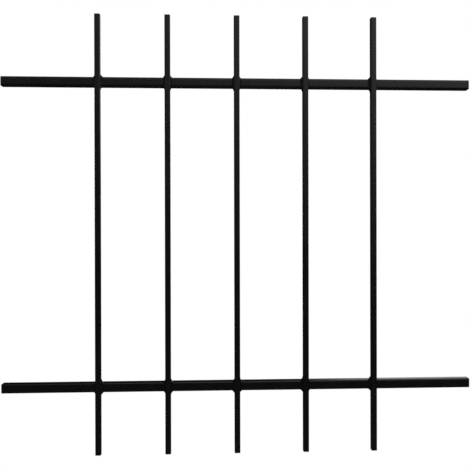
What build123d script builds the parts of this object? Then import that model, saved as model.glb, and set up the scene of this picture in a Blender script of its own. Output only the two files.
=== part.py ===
from build123d import *
import os

# A welded security grille for a window. Five solid square uprights lie across the front of two
# rails of square tube. A fillet weld runs all round each crossing, and ribbed inserts close the
# rails' ends. +X is to the right as seen from the street, +Z is up, and the uprights are on the
# -Y side. The origin is the centre of the grille, halfway through its depth. All in millimetres.

# Rails: cold-formed square tube
rail_length = 998.0        # over the end caps
rail_side = 20.0
rail_wall = 2.0
rail_bore_radius = 0.8
rail_spacing = 645.0       # between the two centre lines

# Uprights: solid square bar with rolled edges
upright_count = 5
upright_pitch = 146.0
upright_offset = -4.5      # of the middle upright from the middle of the rails
upright_length = 924.0
upright_side = 12.0
upright_edge_radius = 1.2
upright_end_chamfer = 1.0

# Fillet welds: slim beside the uprights, and heavier behind them
weld_side_leg = 3.5        # beside an upright, on its side and on the rail's front
weld_back_leg = 4.5        # behind an upright, along the rail's top or underside
weld_outer_rise = 4.0      # up the upright's back, on the sides of the rails that face outward
weld_inner_rise = 8.0      # and on the sides that face each other
weld_toe = 0.5             # thickness left at the edge of a bead

# End caps: a flange over the tube's end, and a hollow plug with thin ribs inside it
cap_flange = 3.0
cap_edge_bevel = 1.0
cap_plug_length = 14.0
cap_plug_wall = 1.5
cap_rib_count = 3
cap_rib_pitch = 4.0
cap_rib_thickness = 1.0
cap_rib_height = 0.9
cap_clearance = 0.1        # between the ribs and the bore

# The uprights' backs and the rails' fronts meet in the lap plane
lap_y = (upright_side - rail_side) / 2
rail_centre_y = lap_y + rail_side / 2
upright_centre_y = lap_y - upright_side / 2
rail_levels = {"top": rail_spacing / 2, "bottom": -rail_spacing / 2}
rail_ends = {"left": -1, "right": 1}
first_upright_x = upright_offset - (upright_count - 1) / 2 * upright_pitch
upright_places = [first_upright_x + number * upright_pitch for number in range(upright_count)]

rail_corner_radius = rail_bore_radius + rail_wall
bore_side = rail_side - 2 * rail_wall
tube_length = rail_length - 2 * cap_flange


def section_plane(x, z):
    """A plane across a rail at x, with its origin on the rail's centre line."""
    return Plane(origin=(x, rail_centre_y, z), x_dir=(0, 1, 0), z_dir=(1, 0, 0))


def make_rail(z):
    """A length of square tube, open at both ends."""
    with BuildPart() as rail:
        with BuildSketch(section_plane(-tube_length / 2, z)):
            RectangleRounded(rail_side, rail_side, rail_corner_radius)
            RectangleRounded(bore_side, bore_side, rail_bore_radius, mode=Mode.SUBTRACT)
        extrude(amount=tube_length)
    return rail


def make_upright(x):
    """A solid bar with rounded long edges. Its sawn ends are dressed with a chamfer on each side."""
    with BuildPart() as upright:
        with BuildSketch(Plane(origin=(x, upright_centre_y, -upright_length / 2))):
            RectangleRounded(upright_side, upright_side, upright_edge_radius)
        extrude(amount=upright_length)
        for across in ((1, 0, 0), (0, 1, 0)):
            side_view = Plane(origin=(x, upright_centre_y, 0), x_dir=across, z_dir=(across[1], -across[0], 0))
            with BuildSketch(side_view) as outline:
                Rectangle(upright_side, upright_length)
                chamfer(outline.vertices(), length=upright_end_chamfer)
            extrude(amount=upright_side / 2, both=True, mode=Mode.INTERSECT)
    return upright


def make_weld(x, z):
    """One bead all round a crossing: beside the upright on the rail's front, and behind the
    upright on the rail's top and underside. Its outlines from the front, the side and above meet
    in a block with sloping faces, and the two bars that it joins are cut out of it."""
    crossing = (x, lap_y, z)
    half_rail = rail_side / 2
    foot_x = upright_side / 2 + weld_side_leg
    toe_x = upright_side / 2 + weld_toe
    top_z = half_rail + (weld_outer_rise if z > 0 else weld_inner_rise)
    low_z = -half_rail - (weld_inner_rise if z > 0 else weld_outer_rise)
    open_root = rail_side - rail_corner_radius
    from_front = (
        (-foot_x, -half_rail), (-toe_x, low_z), (toe_x, low_z), (foot_x, -half_rail),
        (foot_x, half_rail), (toe_x, top_z), (-toe_x, top_z), (-foot_x, half_rail),
    )
    from_side = (
        (-weld_side_leg, -half_rail), (-weld_toe, low_z), (weld_toe, low_z), (weld_back_leg, -half_rail),
        (weld_back_leg, half_rail), (weld_toe, top_z), (-weld_toe, top_z), (-weld_side_leg, half_rail),
    )
    from_above = (
        (-foot_x, -weld_toe), (-toe_x, -weld_side_leg), (toe_x, -weld_side_leg), (foot_x, -weld_toe),
        (foot_x, weld_back_leg), (-foot_x, weld_back_leg),
    )
    with BuildPart() as weld:
        with BuildSketch(Plane(origin=crossing, x_dir=(1, 0, 0), z_dir=(0, -1, 0))):
            Polygon(*from_front, align=None)
        extrude(amount=weld_back_leg, both=True)
        with BuildSketch(Plane(origin=crossing, x_dir=(0, 1, 0), z_dir=(1, 0, 0))):
            Polygon(*from_side, align=None)
        extrude(amount=foot_x, both=True, mode=Mode.INTERSECT)
        with BuildSketch(Plane(origin=crossing)):
            Polygon(*from_above, align=None)
        extrude(amount=rail_side, both=True, mode=Mode.INTERSECT)
        with Locations(crossing):
            Box(
                upright_side, 2 * weld_back_leg, 2 * rail_side,
                align=(Align.CENTER, Align.MAX, Align.CENTER), mode=Mode.SUBTRACT,
            )
            # behind the upright, weld metal fills only the outer half of the rail's rounded corner
            Box(
                upright_side, 2 * weld_back_leg, open_root,
                align=(Align.CENTER, Align.MIN, Align.CENTER), mode=Mode.SUBTRACT,
            )
        with BuildSketch(section_plane(x - foot_x, z)):
            RectangleRounded(rail_side, rail_side, rail_corner_radius)
        extrude(amount=2 * foot_x, mode=Mode.SUBTRACT)
    return weld


def make_cap(side, z):
    """A moulded insert: the bevelled flange covers the tube's wall, and the ribs grip its bore."""
    rib_side = bore_side - 2 * cap_clearance
    plug_side = rib_side - 2 * cap_rib_height
    cavity_side = plug_side - 2 * cap_plug_wall
    seat = Plane(origin=(side * tube_length / 2, rail_centre_y, z), x_dir=(0, 1, 0), z_dir=(side, 0, 0))
    with BuildPart() as cap:
        with BuildSketch(seat):
            RectangleRounded(rail_side, rail_side, rail_corner_radius)
        extrude(amount=cap_flange)
        outer_face = cap.faces().sort_by(Axis.X)[-1 if side > 0 else 0]
        chamfer(outer_face.edges(), length=cap_edge_bevel)
        with BuildSketch(seat):
            RectangleRounded(plug_side, plug_side, rail_bore_radius)
        extrude(amount=-cap_plug_length)
        for number in range(cap_rib_count):
            rib_end = cap_plug_length - number * cap_rib_pitch
            with BuildSketch(seat.offset(-rib_end)):
                RectangleRounded(rib_side, rib_side, rail_bore_radius)
            extrude(amount=cap_rib_thickness)
        with BuildSketch(seat.offset(-cap_plug_length)):
            Rectangle(cavity_side, cavity_side)
        extrude(amount=cap_plug_length, mode=Mode.SUBTRACT)
    return cap


def write(piece, name):
    """Label a finished piece and write its STEP file."""
    piece.part.label = name
    export_step(piece.part, f"parts/{name}.step")


os.makedirs("parts", exist_ok=True)

for level, rail_z in rail_levels.items():
    write(make_rail(rail_z), f"{level}_rail")
    for end, side in rail_ends.items():
        write(make_cap(side, rail_z), f"cap_{level}_{end}")
    for number, upright_x in enumerate(upright_places, start=1):
        write(make_weld(upright_x, rail_z), f"weld_{level}_{number}")

for number, upright_x in enumerate(upright_places, start=1):
    write(make_upright(upright_x), f"upright_{number}")
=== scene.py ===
"""Looks of the welded window grille: satin black paint over bar, tube and rippled welds.

The frame gives every size. The bars, tubes and welds are remade here as finer meshes in the same
places, and the end caps keep their own solids. All lengths are in metres unless a name says mm.
"""
import math

import bpy
from mathutils import Matrix, Vector, noise


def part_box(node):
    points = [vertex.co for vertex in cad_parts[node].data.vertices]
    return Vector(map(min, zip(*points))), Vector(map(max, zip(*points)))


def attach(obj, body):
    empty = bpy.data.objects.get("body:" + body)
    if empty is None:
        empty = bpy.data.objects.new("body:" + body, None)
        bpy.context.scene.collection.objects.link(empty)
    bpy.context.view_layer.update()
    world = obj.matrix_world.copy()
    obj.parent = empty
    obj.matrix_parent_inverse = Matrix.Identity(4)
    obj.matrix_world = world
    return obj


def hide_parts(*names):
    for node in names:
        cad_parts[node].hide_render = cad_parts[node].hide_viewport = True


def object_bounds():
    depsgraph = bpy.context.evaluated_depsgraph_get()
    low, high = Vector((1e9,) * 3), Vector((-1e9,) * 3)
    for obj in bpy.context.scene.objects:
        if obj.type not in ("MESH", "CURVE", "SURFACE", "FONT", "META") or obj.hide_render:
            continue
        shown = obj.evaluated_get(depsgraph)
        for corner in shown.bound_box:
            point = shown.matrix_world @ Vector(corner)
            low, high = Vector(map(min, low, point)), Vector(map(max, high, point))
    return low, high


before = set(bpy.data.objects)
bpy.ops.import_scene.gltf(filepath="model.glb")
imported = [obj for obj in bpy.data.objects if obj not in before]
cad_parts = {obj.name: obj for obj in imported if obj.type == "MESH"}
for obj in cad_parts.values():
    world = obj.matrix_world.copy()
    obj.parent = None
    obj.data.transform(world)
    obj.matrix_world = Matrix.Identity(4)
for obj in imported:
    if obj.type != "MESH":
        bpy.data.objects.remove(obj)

cad_low, cad_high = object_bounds()

mm = 0.001
BODY = "root"
LEVELS = ("top", "bottom")
UPRIGHTS = [f"upright_{number}" for number in range(1, 6)]

# Sections of the two stocks, as in the frame
upright_low, upright_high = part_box(UPRIGHTS[0])
rail_low, rail_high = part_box("top_rail")
UPRIGHT_SIDE = upright_high.x - upright_low.x
RAIL_SIDE = rail_high.z - rail_low.z
LAP_Y = upright_high.y                  # the uprights' backs and the rails' fronts
UPRIGHT_EDGE_RADIUS = 1.2 * mm
RAIL_CORNER_RADIUS = 2.8 * mm
RAIL_WALL = 2.0 * mm
RAIL_BORE_RADIUS = 0.8 * mm
UPRIGHT_END_CHAMFER = 1.0 * mm


# Small helpers

def linear(hex_colour):
    """An sRGB hex colour as the linear RGBA that a shader takes."""
    channels = [int(hex_colour[place:place + 2], 16) / 255 for place in (1, 3, 5)]
    return [c / 12.92 if c <= 0.04045 else ((c + 0.055) / 1.055) ** 2.4 for c in channels] + [1.0]


def add_node(tree, kind, settings=None, links=None):
    """Adds one shader node. Settings are attributes or socket values, and links are the sockets
    that feed it. A socket is given by its name, or by its number where names repeat."""
    node = tree.nodes.new(kind)
    for name, value in (settings or {}).items():
        if isinstance(name, str) and hasattr(node, name):
            setattr(node, name, value)
        else:
            node.inputs[name].default_value = value
    for name, source in (links or {}).items():
        tree.links.new(source, node.inputs[name])
    return node


def new_material(name):
    """An empty node material, with its output node."""
    material = bpy.data.materials.new(name)
    material.use_nodes = True
    material.node_tree.nodes.clear()
    return material, material.node_tree, material.node_tree.nodes.new("ShaderNodeOutputMaterial")


def make_piece(name, points, faces, material, smooth_below=35):
    """A mesh piece that is smooth except across edges sharper than the angle in degrees."""
    mesh = bpy.data.meshes.new(name)
    mesh.from_pydata([tuple(point) for point in points], [], faces)
    mesh.update()
    mesh.shade_smooth()
    mesh.set_sharp_from_angle(angle=math.radians(smooth_below))
    piece = bpy.data.objects.new(name, mesh)
    bpy.context.scene.collection.objects.link(piece)
    mesh.materials.append(material)
    return piece


# Finishes

PAINT_BLACK = "#09090a"
PAINT_BLACK_THIN = "#0d0d0d"
PAINT_IOR = 1.5
PAINT_CLOUD = 45 * mm        # size of the patches where the film is thicker or thinner
GLOSS_SPREAD = (-0.04, 0.05)            # of the roughness over those patches
MOST_OF_NOISE = (0.3, 0.7)   # where nearly all values of a noise texture lie
PEEL_STRENGTH = 0.6
PLASTIC_BLACK = "#0d0d0e"
PLASTIC_IOR = 1.51
PLASTIC_GRAIN = 0.4 * mm     # coarser than the mould's real grain, so that it shows
PLASTIC_GRAIN_DEPTH = 0.03 * mm
PLASTIC_GRAIN_STRENGTH = 0.5
PLASTIC_ROUGHNESS = (0.5, 0.64)


def satin_paint(name, texture_mm, texture_depth_mm, roughness):
    """Satin alkyd enamel on steel, sprayed: a near-black film with a soft sheen, the faint
    dimples of orange peel, and a cloudy gloss where the film is thicker or thinner."""
    material, tree, output = new_material(name)
    place = add_node(tree, "ShaderNodeTexCoord").outputs["Object"]
    film = add_node(tree, "ShaderNodeTexNoise", {"Scale": 1 / PAINT_CLOUD, "Detail": 3.0}, {"Vector": place})
    colour = add_node(
        tree, "ShaderNodeMix",
        {"data_type": "RGBA", 6: linear(PAINT_BLACK), 7: linear(PAINT_BLACK_THIN)},
        {0: film.outputs["Fac"]},
    )
    gloss = add_node(
        tree, "ShaderNodeMapRange",
        {
            "From Min": MOST_OF_NOISE[0], "To Min": roughness + GLOSS_SPREAD[0],
            "From Max": MOST_OF_NOISE[1], "To Max": roughness + GLOSS_SPREAD[1],
        },
        {"Value": film.outputs["Fac"]},
    )
    peel = add_node(
        tree, "ShaderNodeTexNoise", {"Scale": 1 / (texture_mm * mm), "Detail": 2.0}, {"Vector": place},
    )
    bump = add_node(
        tree, "ShaderNodeBump", {"Strength": PEEL_STRENGTH, "Distance": texture_depth_mm * mm},
        {"Height": peel.outputs["Fac"]},
    )
    paint = add_node(
        tree, "ShaderNodeBsdfPrincipled", {"IOR": PAINT_IOR},
        {
            "Base Color": colour.outputs[2],
            "Roughness": gloss.outputs["Result"],
            "Normal": bump.outputs["Normal"],
        },
    )
    tree.links.new(paint.outputs["BSDF"], output.inputs["Surface"])
    return material


def moulded_polythene(name):
    """Black polythene from a spark-eroded mould: dull, with a fine even grain."""
    material, tree, output = new_material(name)
    place = add_node(tree, "ShaderNodeTexCoord").outputs["Object"]
    grain = add_node(
        tree, "ShaderNodeTexNoise", {"Scale": 1 / PLASTIC_GRAIN, "Detail": 2.0}, {"Vector": place})
    bump = add_node(
        tree, "ShaderNodeBump", {"Strength": PLASTIC_GRAIN_STRENGTH, "Distance": PLASTIC_GRAIN_DEPTH},
        {"Height": grain.outputs["Fac"]},
    )
    mottle = add_node(
        tree, "ShaderNodeMapRange", {"To Min": PLASTIC_ROUGHNESS[0], "To Max": PLASTIC_ROUGHNESS[1]},
        {"Value": grain.outputs["Fac"]},
    )
    plastic = add_node(
        tree, "ShaderNodeBsdfPrincipled", {"IOR": PLASTIC_IOR, "Base Color": linear(PLASTIC_BLACK)},
        {"Roughness": mottle.outputs["Result"], "Normal": bump.outputs["Normal"]},
    )
    tree.links.new(plastic.outputs["BSDF"], output.inputs["Surface"])
    return material


BAR_PAINT = satin_paint("satin_enamel_on_bar", texture_mm=1.8, texture_depth_mm=0.03, roughness=0.22)
WELD_PAINT = satin_paint("satin_enamel_on_weld", texture_mm=0.9, texture_depth_mm=0.06, roughness=0.28)
CAP_PLASTIC = moulded_polythene("moulded_black_polythene")


# Bars and tubes

RING_STEP = 4 * mm           # between the rings of points along a bar
ARC_STEPS = 6                # on each rounded corner
FLAT_STEPS = 4               # on each flat side
ROLLING_WAVE = 38 * mm       # length of the slow unevenness that rolling leaves
ROLLING_DEPTH = 0.09 * mm
FILM_WAVE = 7 * mm           # length of the unevenness of the paint film
FILM_DEPTH = 0.03 * mm
END_ROUNDING = 0.15 * mm     # how far the paint rounds the edges of a dressed end
UPRIGHT_END_RINGS = [step * mm for step in (0, 0.2, 0.45, 0.7, 0.9, 1.1, 1.4, 2.2, 4)]
RAIL_END_RINGS = [step * mm for step in (0, 0.3, 1.0, 2.5)]


def square_outline(side, radius):
    """Points and outward normals of a rounded square about its centre."""
    points, normals = [], []
    reach = side / 2 - radius
    for corner in range(4):
        turn = math.radians(90 * corner)
        start = Vector((
            reach * math.cos(turn) - reach * math.sin(turn),
            reach * math.sin(turn) + reach * math.cos(turn),
        ))
        for step in range(ARC_STEPS + 1):
            angle = turn + math.radians(90) * step / ARC_STEPS
            normal = Vector((math.cos(angle), math.sin(angle)))
            points.append(start + radius * normal)
            normals.append(normal)
        turn_next = turn + math.radians(90)
        along = Vector((-math.sin(turn_next), math.cos(turn_next)))
        corner_end = start + radius * Vector((math.cos(turn_next), math.sin(turn_next)))
        for step in range(1, FLAT_STEPS):
            points.append(corner_end + along * 2 * reach * step / FLAT_STEPS)
            normals.append(Vector((math.cos(turn_next), math.sin(turn_next))))
    return points, normals


def unevenness(place):
    """How far the painted face lies below its true plane: rolling plus film, never above it."""
    rolling = (1 + noise.noise(place / ROLLING_WAVE)) / 2
    film = (1 + noise.noise(place / FILM_WAVE)) / 2
    return ROLLING_DEPTH * rolling + FILM_DEPTH * film


def stations(low, high, end_steps):
    """Places of the rings along a bar: close together at its dressed ends, even between."""
    inner_low, inner_high = low + end_steps[-1], high - end_steps[-1]
    count = round((inner_high - inner_low) / RING_STEP)
    even = [inner_low + (inner_high - inner_low) * step / count for step in range(1, count)]
    return [low + step for step in end_steps] + even + [high - step for step in reversed(end_steps)]


def end_inset(distance, chamfer):
    """How far the sides lie in at a distance from the bar's end: a chamfer whose two edges the
    paint has rounded."""
    depth = chamfer - distance
    return (depth + math.sqrt(depth * depth + END_ROUNDING * END_ROUNDING)) / 2


def to_bar(centre, axis, station, across):
    """A point of a bar's section, at a station along it, as a place in the frame."""
    if axis == "z":
        return Vector((centre.x + across.x, centre.y + across.y, station))
    return Vector((station, centre.y + across.x, centre.z + across.y))


def skin(centre, axis, low, high, outline, chamfer, end_steps, sign=1):
    """Rings of points along a bar, and the faces that join them. Sign -1 turns the faces inward,
    as a bore needs them."""
    outline_points, outline_normals = outline
    half = max(point.x for point in outline_points)
    rings, points = [], []
    for station in stations(low, high, end_steps):
        inset = end_inset(min(station - low, high - station), chamfer) if chamfer else 0
        limit = half - inset
        ring = []
        for point, normal in zip(outline_points, outline_normals):
            across = Vector((max(-limit, min(limit, point.x)), max(-limit, min(limit, point.y))))
            place = to_bar(centre, axis, station, across)
            across -= normal * unevenness(place) * sign
            ring.append(len(points))
            points.append(to_bar(centre, axis, station, across))
        rings.append(ring)
    faces = []
    for first, second in zip(rings, rings[1:]):
        for here in range(len(first)):
            after = (here + 1) % len(first)
            face = (first[here], first[after], second[after], second[here])
            faces.append(face if sign > 0 else face[::-1])
    return points, faces, rings


def make_upright(name):
    """Solid square bar, sawn and dressed at both ends."""
    low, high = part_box(name)
    centre = (low + high) / 2
    outline = square_outline(UPRIGHT_SIDE, UPRIGHT_EDGE_RADIUS)
    points, faces, rings = skin(
        centre, "z", low.z, high.z, outline, UPRIGHT_END_CHAMFER, UPRIGHT_END_RINGS)
    faces.append(tuple(reversed(rings[0])))
    faces.append(tuple(rings[-1]))
    piece = make_piece(f"bar_{name}", points, faces, BAR_PAINT)
    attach(piece, BODY)
    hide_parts(name)


def make_rail(level):
    """Square tube with an open bore, cut square at both ends."""
    low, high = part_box(f"{level}_rail")
    centre = (low + high) / 2
    outer = square_outline(RAIL_SIDE, RAIL_CORNER_RADIUS)
    inner = square_outline(RAIL_SIDE - 2 * RAIL_WALL, RAIL_BORE_RADIUS)
    points, faces, outer_rings = skin(centre, "x", low.x, high.x, outer, 0, RAIL_END_RINGS)
    bore_points, bore_faces, bore_rings = skin(
        centre, "x", low.x, high.x, inner, 0, RAIL_END_RINGS, sign=-1)
    offset = len(points)
    points += bore_points
    faces += [tuple(corner + offset for corner in face) for face in bore_faces]
    for end, turned in ((0, True), (-1, False)):
        outside = outer_rings[end]
        inside = [corner + offset for corner in bore_rings[end]]
        for here in range(len(outside)):
            after = (here + 1) % len(outside)
            face = (outside[here], outside[after], inside[after], inside[here])
            faces.append(face[::-1] if turned else face)
    piece = make_piece(f"tube_{level}_rail", points, faces, BAR_PAINT)
    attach(piece, BODY)
    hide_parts(f"{level}_rail")


for upright in UPRIGHTS:
    make_upright(upright)
for level in LEVELS:
    make_rail(level)


# Welds

WELD_SIDE_LEG = 3.5 * mm     # beside an upright, on its side and on the rail's front
WELD_BACK_LEG = 4.5 * mm     # behind an upright, along the rail's top or underside
WELD_RISE = {"outer": 4.0 * mm, "inner": 8.0 * mm}      # up the upright's back
WELD_CROWN = 0.15 * mm       # rise of the bead's face above a straight fillet
CORNER_FULLNESS = 0.3        # share by which the legs grow at each corner of a crossing
RIPPLE_PITCH = 2.1 * mm
RIPPLE_DEPTH = 0.16 * mm
RIPPLE_BOW = 1.1             # share of a pitch by which a ripple's middle runs ahead of its toes
RIPPLE_FADE = 3              # how steeply the ripples come in from the toes
BEAD_STEP = 0.35 * mm        # between the rings of points along a bead
FACE_STEPS = 12              # across the bead's face
TOE_SUNK = 0.12 * mm
ROOT_SUNK = 0.6 * mm
LUMP_LENGTH = 5.5 * mm       # of the slow swelling along a bead
LUMP_SHARE = 0.16
TOE_WANDER = 0.1             # share of a leg by which a toe wanders
TOE_WANDER_LENGTH = 2.5 * mm
SCALE_GRAIN = 0.8 * mm       # roughness of the weld metal under the paint
SCALE_DEPTH = 0.07 * mm
SCALE_SPAN = 6               # of those grains from toe to toe
FACE_HEIGHT = 0.5 * mm       # least height of a bead's middle over the bars
FACE_RISE = 1.5              # how steeply the face comes up to it from the toes
FACE_PASSES = 4              # as moving a point clear of one bar can bring it near the other
# The corner of each crossing where the welder left the most metal, from left to right
HEAVY_CORNERS = {
    "top": ((1, 1), (-1, -1), (-1, -1), (-1, 1), (1, 1)),
    "bottom": ((1, -1), (1, 1), (-1, -1), (-1, 1), (-1, 1)),
}
HEAVY_EXTRA = 0.6 * mm
HEAVY_REACH = 5 * mm


def bead_route(rise_low, rise_high):
    """Stations once round a crossing. Each has the root, the two legs from it up each bar, and the
    distance along the bead. The root is the edge of the patch where the bars meet, and at a
    corner of the patch the legs swing from the upright's side to its back. Rise is the leg up
    the upright's back, below and above the rail."""
    half_u, half_w = UPRIGHT_SIDE / 2, RAIL_SIDE / 2
    low_right, high_right = Vector((half_u, 0, -half_w)), Vector((half_u, 0, half_w))
    low_left, high_left = Vector((-half_u, 0, -half_w)), Vector((-half_u, 0, half_w))
    beside = Vector((0, -WELD_SIDE_LEG, 0))
    behind = Vector((0, WELD_BACK_LEG, 0))
    sides = (
        (low_right, high_right, beside, Vector((WELD_SIDE_LEG, 0, 0))),
        (high_right, high_left, Vector((0, 0, rise_high)), behind),
        (high_left, low_left, beside, Vector((-WELD_SIDE_LEG, 0, 0))),
        (low_left, low_right, Vector((0, 0, -rise_low)), behind),
    )
    route, travelled = [], 0.0
    for number, (start, end, up_bar, up_rail) in enumerate(sides):
        steps = max(2, round((end - start).length / BEAD_STEP))
        for step in range(steps):
            route.append((start.lerp(end, step / steps), up_bar, up_rail, travelled))
            travelled += (end - start).length / steps
        next_bar, next_rail = sides[(number + 1) % 4][2:]
        swing = (up_bar.length + next_bar.length) / 2 * math.pi / 4
        steps = round(2 * swing / BEAD_STEP)
        for step in range(steps):
            turn = math.pi / 2 * step / steps
            full = 1 + CORNER_FULLNESS * math.sin(2 * turn)
            route.append((
                end.copy(),
                (up_bar * math.cos(turn) + next_bar * math.sin(turn)) * full,
                (up_rail * math.cos(turn) + next_rail * math.sin(turn)) * full,
                travelled,
            ))
            travelled += swing / steps
    return route, travelled


def height_over_prism(point, centre, half, radius, axis):
    """Distance of a point from the surface of a rounded square bar that runs along the axis, and
    the direction away from it."""
    offset = point - centre
    offset[axis] = 0
    past = Vector([max(abs(part) - (half - radius), 0) for part in offset])
    if past.length > 1e-9:
        away = Vector([math.copysign(length, part) for length, part in zip(past, offset)]).normalized()
        return past.length - radius, away
    height, side = max((abs(part) - half, side) for side, part in enumerate(offset) if side != axis)
    away = Vector((0, 0, 0))
    away[side] = math.copysign(1, offset[side])
    return height, away


def height_over_bars(point):
    """The lesser of a point's heights over the upright and over the rail at a crossing, in the
    crossing's own frame, with the direction away from that bar."""
    over_upright = height_over_prism(
        point, Vector((0, -UPRIGHT_SIDE / 2, 0)), UPRIGHT_SIDE / 2, UPRIGHT_EDGE_RADIUS, 2)
    over_rail = height_over_prism(
        point, Vector((0, RAIL_SIDE / 2, 0)), RAIL_SIDE / 2, RAIL_CORNER_RADIUS, 0)
    return min(over_upright, over_rail, key=lambda pair: pair[0])


def make_weld(level, number):
    """A hand-laid bead all round one crossing, painted with the bars."""
    name = f"weld_{level}_{number}"
    low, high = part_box(name)
    rail_low, rail_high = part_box(f"{level}_rail")
    crossing = Vector(((low.x + high.x) / 2, LAP_Y, (rail_low.z + rail_high.z) / 2))
    rises = (WELD_RISE["inner"], WELD_RISE["outer"])
    route, round_length = bead_route(*(rises if level == "top" else rises[::-1]))
    heavy_u, heavy_w = HEAVY_CORNERS[level][number - 1]
    heavy = Vector((heavy_u * UPRIGHT_SIDE / 2, 0, heavy_w * RAIL_SIDE / 2))
    ripples = round(round_length / RIPPLE_PITCH)
    apart = Vector((9, 0, 0))      # so that a bead's two toes wander each by itself
    points, rings = [], []
    for root, up_bar, up_rail, travelled in route:
        out = (up_bar.normalized() + up_rail.normalized()).normalized()
        middle = root + (up_bar + up_rail) / 2
        seed = crossing + middle
        swell = 1 + LUMP_SHARE * noise.noise(seed / LUMP_LENGTH)
        extra = HEAVY_EXTRA * math.exp(-((root - heavy).length / HEAVY_REACH) ** 2)
        leg_bar = up_bar * swell * (1 + TOE_WANDER * noise.noise(seed / TOE_WANDER_LENGTH))
        leg_rail = up_rail * swell * (1 + TOE_WANDER * noise.noise(seed / TOE_WANDER_LENGTH + apart))
        leg_bar += extra * up_bar.normalized()
        leg_rail += extra * up_rail.normalized()
        ring = []
        for step in range(FACE_STEPS + 1):
            share = step / FACE_STEPS
            arch = 4 * share * (1 - share)
            phase = (travelled / round_length * ripples + RIPPLE_BOW * arch) % 1
            ripple = RIPPLE_DEPTH * (0.5 - phase) * min(1, RIPPLE_FADE * arch)
            grain = SCALE_DEPTH * noise.noise(seed / SCALE_GRAIN + Vector((share * SCALE_SPAN, 0, 0)))
            place = root + leg_bar * (1 - share) + leg_rail * share
            place += out * (WELD_CROWN * arch + ripple + grain * arch)
            wanted = -TOE_SUNK + (TOE_SUNK + FACE_HEIGHT) * min(1, FACE_RISE * arch)
            for _ in range(FACE_PASSES):
                height, away = height_over_bars(place)
                if step in (0, FACE_STEPS) or height < wanted:
                    place += away * (wanted - height)
            ring.append(len(points))
            points.append(crossing + place)
        ring.append(len(points))
        points.append(crossing + root - out * ROOT_SUNK)
        rings.append(ring)
    faces = []
    for here, ring in enumerate(rings):
        following = rings[(here + 1) % len(rings)]
        for side in range(len(ring)):
            after = (side + 1) % len(ring)
            faces.append((ring[side], ring[after], following[after], following[side]))
    piece = make_piece(f"bead_{name}", points, faces, WELD_PAINT, smooth_below=60)
    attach(piece, BODY)
    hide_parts(name)


for level in LEVELS:
    for number in range(1, len(UPRIGHTS) + 1):
        make_weld(level, number)


# End caps keep their solids

for node_name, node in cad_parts.items():
    if node_name.startswith("cap_"):
        node.data.materials.clear()
        node.data.materials.append(CAP_PLASTIC)


# Camera, as fitted to the bars' edges in the photograph

CAMERA_PLACE = Vector((-79.8, -1441.1, 2.4)) * mm
CAMERA_YAW = math.radians(2.843)       # towards +X
CAMERA_TILT = math.radians(-0.147)     # above the horizon
CAMERA_ROLL = math.radians(-0.127)
CAMERA_LENS = 51.84
SENSOR_WIDTH = 36.0


def make_camera():
    """The camera at its fitted place, with its own right and up turned by the roll."""
    forward = Vector((
        math.sin(CAMERA_YAW) * math.cos(CAMERA_TILT),
        math.cos(CAMERA_YAW) * math.cos(CAMERA_TILT),
        math.sin(CAMERA_TILT),
    ))
    level_right = Vector((math.cos(CAMERA_YAW), -math.sin(CAMERA_YAW), 0))
    level_up = level_right.cross(forward)
    right = math.cos(CAMERA_ROLL) * level_right + math.sin(CAMERA_ROLL) * level_up
    up = -math.sin(CAMERA_ROLL) * level_right + math.cos(CAMERA_ROLL) * level_up
    data = bpy.data.cameras.new("photo_camera")
    data.sensor_width = SENSOR_WIDTH
    data.lens = CAMERA_LENS
    camera = bpy.data.objects.new("photo_camera", data)
    bpy.context.scene.collection.objects.link(camera)
    turn = Matrix((right, up, -forward)).transposed()
    camera.matrix_world = Matrix.Translation(CAMERA_PLACE) @ turn.to_4x4()
    bpy.context.scene.camera = camera


make_camera()


# Studio: a white paper floor below the view with a softbox above it, a plain fill light from the
# front, and a broad window at the upper right in front. Grey walls stand at the left in front and
# at the right. A bright one stands at the right behind the grille, as the top of the lower rail
# shows it, and the rest of the room is dim

FLOOR_Z = cad_low.z - 160 * mm
FLOOR_HALF = 30.0
FLOOR_WHITE = "#d0d0d0"
ROOM_DIM = 0.009
# Each soft light: degrees to the right of the grille's front, degrees above the horizon, degrees
# from its middle at which it has fallen to half, how steeply it falls, and its strength
SOFT_LIGHTS = (
    (34, 45, 36, 7.3, 1.0),            # window
    (-60, 8, 30, 8.0, 0.2),            # grey wall at the left
    (100, 10, 28, 6.0, 0.12),          # and at the right
)
WALL_SIDE = math.radians(9)             # of its left edge, to the right of straight behind
WALL_FOOT = math.sin(math.radians(5))
WALL_TOP = math.sin(math.radians(30))
# Each edge of the bright wall: an axis, and the parts of a direction along it that lie just
# outside and just inside the wall
WALL_EDGES = (
    (Vector((0, 0, 1)), WALL_FOOT, WALL_FOOT + 0.08),
    (Vector((0, 0, 1)), WALL_TOP + 0.12, WALL_TOP),
    (Vector((math.cos(WALL_SIDE), -math.sin(WALL_SIDE), 0)), -0.02, 0.10),
    (Vector((0, 1, 0)), 0.0, 0.3),
)
PAPER_MIDDLE_Y = -0.45                  # of the oval of lit paper, in metres as are its reaches
PAPER_REACH_X = 1.5
PAPER_REACH_Y = 0.9
PAPER_FADE = (0.2, 1.0)                 # shares of those reaches
ROOM_FLOOR = "#2c2c2c"
MIRRORED_PAPER = 0.22                   # share of the paper that the bars' paint mirrors
MIRRORED_FADE = (0.9, 0.5)              # and the distances over which it comes in
SOFTBOX_PLACE, SOFTBOX_AIM = (0.15, 0.65, 2.2), (0, 0.1, -0.6)
SOFTBOX_WATTS = 112
SOFTBOX_SIDE = 0.4
FILL_PLACE, FILL_AIM = (-0.3, -2.0, 1.0), (0, 0, 0)
FILL_STRENGTH = 2.4
FILL_SPREAD = math.radians(60)


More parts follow.
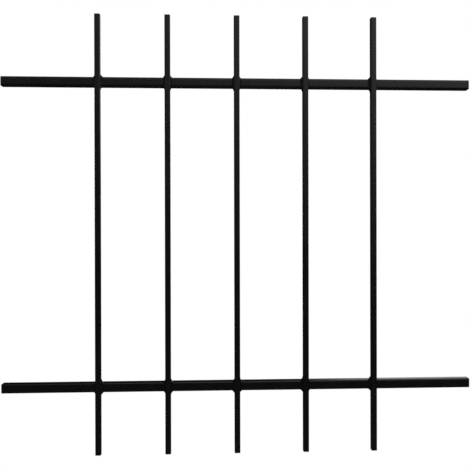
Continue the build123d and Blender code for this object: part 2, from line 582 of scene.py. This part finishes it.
def seen_as_white(tree, rays, reflected):
    """One for the rays that show the white background: those of the camera, those that pass
    through something clear, and as many of the reflections as are given."""
    direct = add_node(
        tree, "ShaderNodeMath", {"operation": "MAXIMUM"},
        {0: rays.outputs["Is Camera Ray"], 1: rays.outputs["Is Transmission Ray"]},
    )
    return add_node(
        tree, "ShaderNodeMath", {"operation": "MAXIMUM"}, {0: direct.outputs["Value"], 1: reflected},
    ).outputs["Value"]


def make_floor():
    """White paper with the grille's shadow on it, which fades into evenly white ground all round.
    The bars' paint mirrors the paper below them faintly, and beyond it the dim floor of the room."""
    material, tree, output = new_material("white_floor_paper")
    rays = add_node(tree, "ShaderNodeLightPath")
    place = add_node(tree, "ShaderNodeTexCoord").outputs["Object"]
    oval = add_node(
        tree, "ShaderNodeMapping",
        {
            "Location": (0, -PAPER_MIDDLE_Y / PAPER_REACH_Y, 0),
            "Scale": (1 / PAPER_REACH_X, 1 / PAPER_REACH_Y, 0),
        },
        {"Vector": place},
    )
    reach = add_node(tree, "ShaderNodeVectorMath", {"operation": "LENGTH"}, {0: oval.outputs["Vector"]})
    past_paper = add_node(
        tree, "ShaderNodeMapRange",
        {"interpolation_type": "SMOOTHSTEP", "From Min": PAPER_FADE[0], "From Max": PAPER_FADE[1]},
        {"Value": reach.outputs["Value"]},
    )
    paper = add_node(tree, "ShaderNodeBsdfDiffuse", {"Color": linear(FLOOR_WHITE)})
    even = add_node(tree, "ShaderNodeEmission", {"Color": linear("#ffffff")})
    ground = add_node(
        tree, "ShaderNodeMixShader", {},
        {0: past_paper.outputs["Result"], 1: paper.outputs["BSDF"], 2: even.outputs["Emission"]},
    )
    mirrored = add_node(
        tree, "ShaderNodeMath", {"operation": "MULTIPLY", 1: MIRRORED_PAPER},
        {0: rays.outputs["Is Glossy Ray"]},
    )
    distance = add_node(tree, "ShaderNodeVectorMath", {"operation": "LENGTH"}, {0: place})
    mirrored_here = add_node(
        tree, "ShaderNodeMapRange",
        {"interpolation_type": "SMOOTHSTEP", "From Min": MIRRORED_FADE[0], "From Max": MIRRORED_FADE[1]},
        {"Value": distance.outputs["Value"], "To Max": mirrored.outputs["Value"]},
    )
    dim = add_node(tree, "ShaderNodeBsdfDiffuse", {"Color": linear(ROOM_FLOOR)})
    either = add_node(
        tree, "ShaderNodeMixShader", {},
        {
            0: seen_as_white(tree, rays, mirrored_here.outputs["Result"]),
            1: dim.outputs["BSDF"],
            2: ground.outputs["Shader"],
        },
    )
    tree.links.new(either.outputs["Shader"], output.inputs["Surface"])
    corners = [(x * FLOOR_HALF, y * FLOOR_HALF, FLOOR_Z) for x, y in ((-1, -1), (1, -1), (1, 1), (-1, 1))]
    floor = make_piece("floor", corners, [(0, 1, 2, 3)], material)
    return floor


def make_lamp(name, kind, place, aim, energy, lit_pieces):
    """A lamp at a place, aimed at a point, that lights the given pieces alone."""
    data = bpy.data.lights.new(name, kind)
    data.energy = energy
    lamp = bpy.data.objects.new(name, data)
    lamp.location = place
    lamp.rotation_euler = (Vector(aim) - Vector(place)).to_track_quat("-Z", "Y").to_euler()
    bpy.context.scene.collection.objects.link(lamp)
    lit = bpy.data.collections.new(f"lit_by_{name}")
    for piece in lit_pieces:
        lit.objects.link(piece)
    lamp.light_linking.receiver_collection = lit
    return lamp


def make_lamps(floor, grille):
    """A softbox over the floor, where the grille's shadow lies, and a plain even light from the
    front that the grille's paint doesn't mirror."""
    softbox = make_lamp("floor_softbox", "AREA", SOFTBOX_PLACE, SOFTBOX_AIM, SOFTBOX_WATTS, [floor])
    softbox.data.size = SOFTBOX_SIDE
    fill = make_lamp("front_fill", "SUN", FILL_PLACE, FILL_AIM, FILL_STRENGTH, grille)
    fill.data.angle = FILL_SPREAD
    fill.visible_glossy = False


def add_glow(tree, direction, dimmer, side, rise, half_at, fall, strength):
    """Adds the glow of one soft light to that of the dimmer ones: its strength over one more than
    a power of the angle from its middle."""
    side, rise, half_at = math.radians(side), math.radians(rise), math.radians(half_at)
    middle = Vector((math.sin(side) * math.cos(rise), -math.cos(side) * math.cos(rise), math.sin(rise)))
    cosine = add_node(
        tree, "ShaderNodeVectorMath", {"operation": "DOT_PRODUCT", 1: middle}, {0: direction})
    value = add_node(tree, "ShaderNodeMath", {"operation": "ARCCOSINE"}, {0: cosine.outputs["Value"]})
    for operation, amount in (("DIVIDE", half_at), ("POWER", fall), ("ADD", 1.0)):
        value = add_node(
            tree, "ShaderNodeMath", {"operation": operation, 1: amount}, {0: value.outputs["Value"]})
    glow = add_node(
        tree, "ShaderNodeMath", {"operation": "DIVIDE", 0: strength}, {1: value.outputs["Value"]})
    return add_node(
        tree, "ShaderNodeMath", {"operation": "ADD"}, {0: dimmer, 1: glow.outputs["Value"]},
    ).outputs["Value"]


def make_world():
    """White where the camera sees it. The grille's paint mirrors the soft lights, the bright wall
    behind it and the dim room."""
    world = bpy.data.worlds.new("studio")
    world.use_nodes = True
    tree = world.node_tree
    tree.nodes.clear()
    rays = add_node(tree, "ShaderNodeLightPath")
    direction = add_node(tree, "ShaderNodeTexCoord").outputs["Generated"]
    room = add_node(tree, "ShaderNodeValue").outputs["Value"]
    room.default_value = ROOM_DIM
    for light in SOFT_LIGHTS:
        room = add_glow(tree, direction, room, *light)
    wall = rays.outputs["Is Glossy Ray"]
    for axis, outside, inside in WALL_EDGES:
        along = add_node(
            tree, "ShaderNodeVectorMath", {"operation": "DOT_PRODUCT", 1: axis}, {0: direction})
        wall = add_node(
            tree, "ShaderNodeMapRange",
            {"interpolation_type": "SMOOTHSTEP", "From Min": outside, "From Max": inside},
            {"Value": along.outputs["Value"], "To Max": wall},
        ).outputs["Result"]
    strength = add_node(
        tree, "ShaderNodeMath", {"operation": "MAXIMUM"}, {0: seen_as_white(tree, rays, wall), 1: room})
    sky = add_node(
        tree, "ShaderNodeBackground", {"Color": linear("#ffffff")}, {"Strength": strength.outputs["Value"]})
    output = add_node(tree, "ShaderNodeOutputWorld")
    tree.links.new(sky.outputs["Background"], output.inputs["Surface"])
    bpy.context.scene.world = world


grille_pieces = [piece for piece in bpy.context.scene.objects if piece.type == "MESH"]
make_lamps(make_floor(), grille_pieces)
make_world()
bpy.context.scene.view_settings.view_transform = "Standard"
